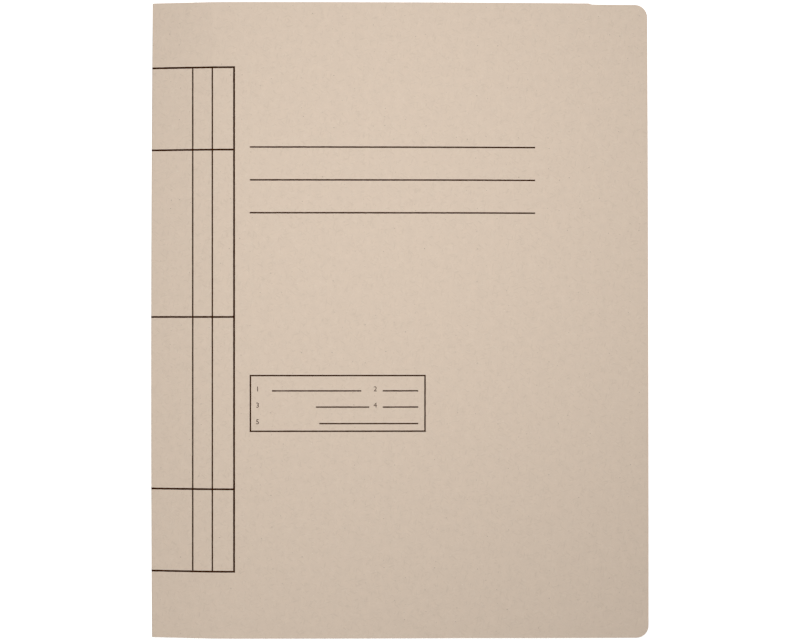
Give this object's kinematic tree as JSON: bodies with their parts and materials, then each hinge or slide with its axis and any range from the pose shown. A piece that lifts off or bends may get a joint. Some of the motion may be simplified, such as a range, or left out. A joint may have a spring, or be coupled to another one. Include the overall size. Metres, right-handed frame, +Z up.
{
  "type": "cardboard fastener folder",
  "caption": "A4 flat file of manila card, closed, with a sprung front cover, folding spine and a pronged metal fastener with bar and sliding clips inside.",
  "frame": {"origin": "on the table, under the middle of the closed folder", "axes": "+X from the spine to the fore edge, +Y up the page, +Z up from the table through the covers"},
  "size_m": [0.243, 0.31, 0.0103],
  "materials": {
    "card": "matte",
    "strip_card": "matte",
    "tinplate": "satin",
    "bar_steel": "satin"
  },
  "bodies": {
    "back": {"back_cover": "card", "filing_strip": "strip_card", "fastener_base": "tinplate"},
    "spine": {"spine_panel": "card"},
    "front": {"front_cover": "card"},
    "upper_prong": {"prong_upper": "tinplate"},
    "lower_prong": {"prong_lower": "tinplate"},
    "bar": {"cover_bar": "bar_steel"},
    "upper_slider": {"slider_upper": "bar_steel"},
    "lower_slider": {"slider_lower": "bar_steel"}
  },
  "joints": [
    {"name": "spine_fold", "type": "hinge", "parent": "back", "child": "spine", "pos_m": [-0.12127, 0, 0.00022], "axis": [0, -1, 0], "range_deg": [0, 90]},
    {"name": "cover_fold", "type": "hinge", "parent": "spine", "child": "front", "pos_m": [-0.12127, 0, 0.00258], "axis": [0, -1, 0], "range_deg": [0, 70]},
    {"name": "upper_prong_bend", "type": "hinge", "parent": "back", "child": "upper_prong", "pos_m": [-0.0875, 0.04, 0.00295], "axis": [-1, 0, 0], "range_deg": [0, 90]},
    {"name": "lower_prong_bend", "type": "hinge", "parent": "back", "child": "lower_prong", "pos_m": [-0.0875, -0.04, 0.00295], "axis": [1, 0, 0], "range_deg": [0, 90]},
    {"name": "bar_lift", "type": "slide", "parent": "back", "child": "bar", "axis": [0, 0, 1], "range_m": [0, 0.006]},
    {"name": "upper_slider_slide", "type": "slide", "parent": "bar", "child": "upper_slider", "axis": [0, 1, 0], "range_m": [0, 0.012]},
    {"name": "lower_slider_slide", "type": "slide", "parent": "bar", "child": "lower_slider", "axis": [0, -1, 0], "range_m": [0, 0.012]}
  ],
  "couplings": [
    {"joint": "upper_prong_bend", "follows": "cover_fold", "ratio": 1.2857},
    {"joint": "lower_prong_bend", "follows": "cover_fold", "ratio": 1.2857},
    {"joint": "bar_lift", "follows": "cover_fold", "m_per_rad": 0.004911}
  ]
}
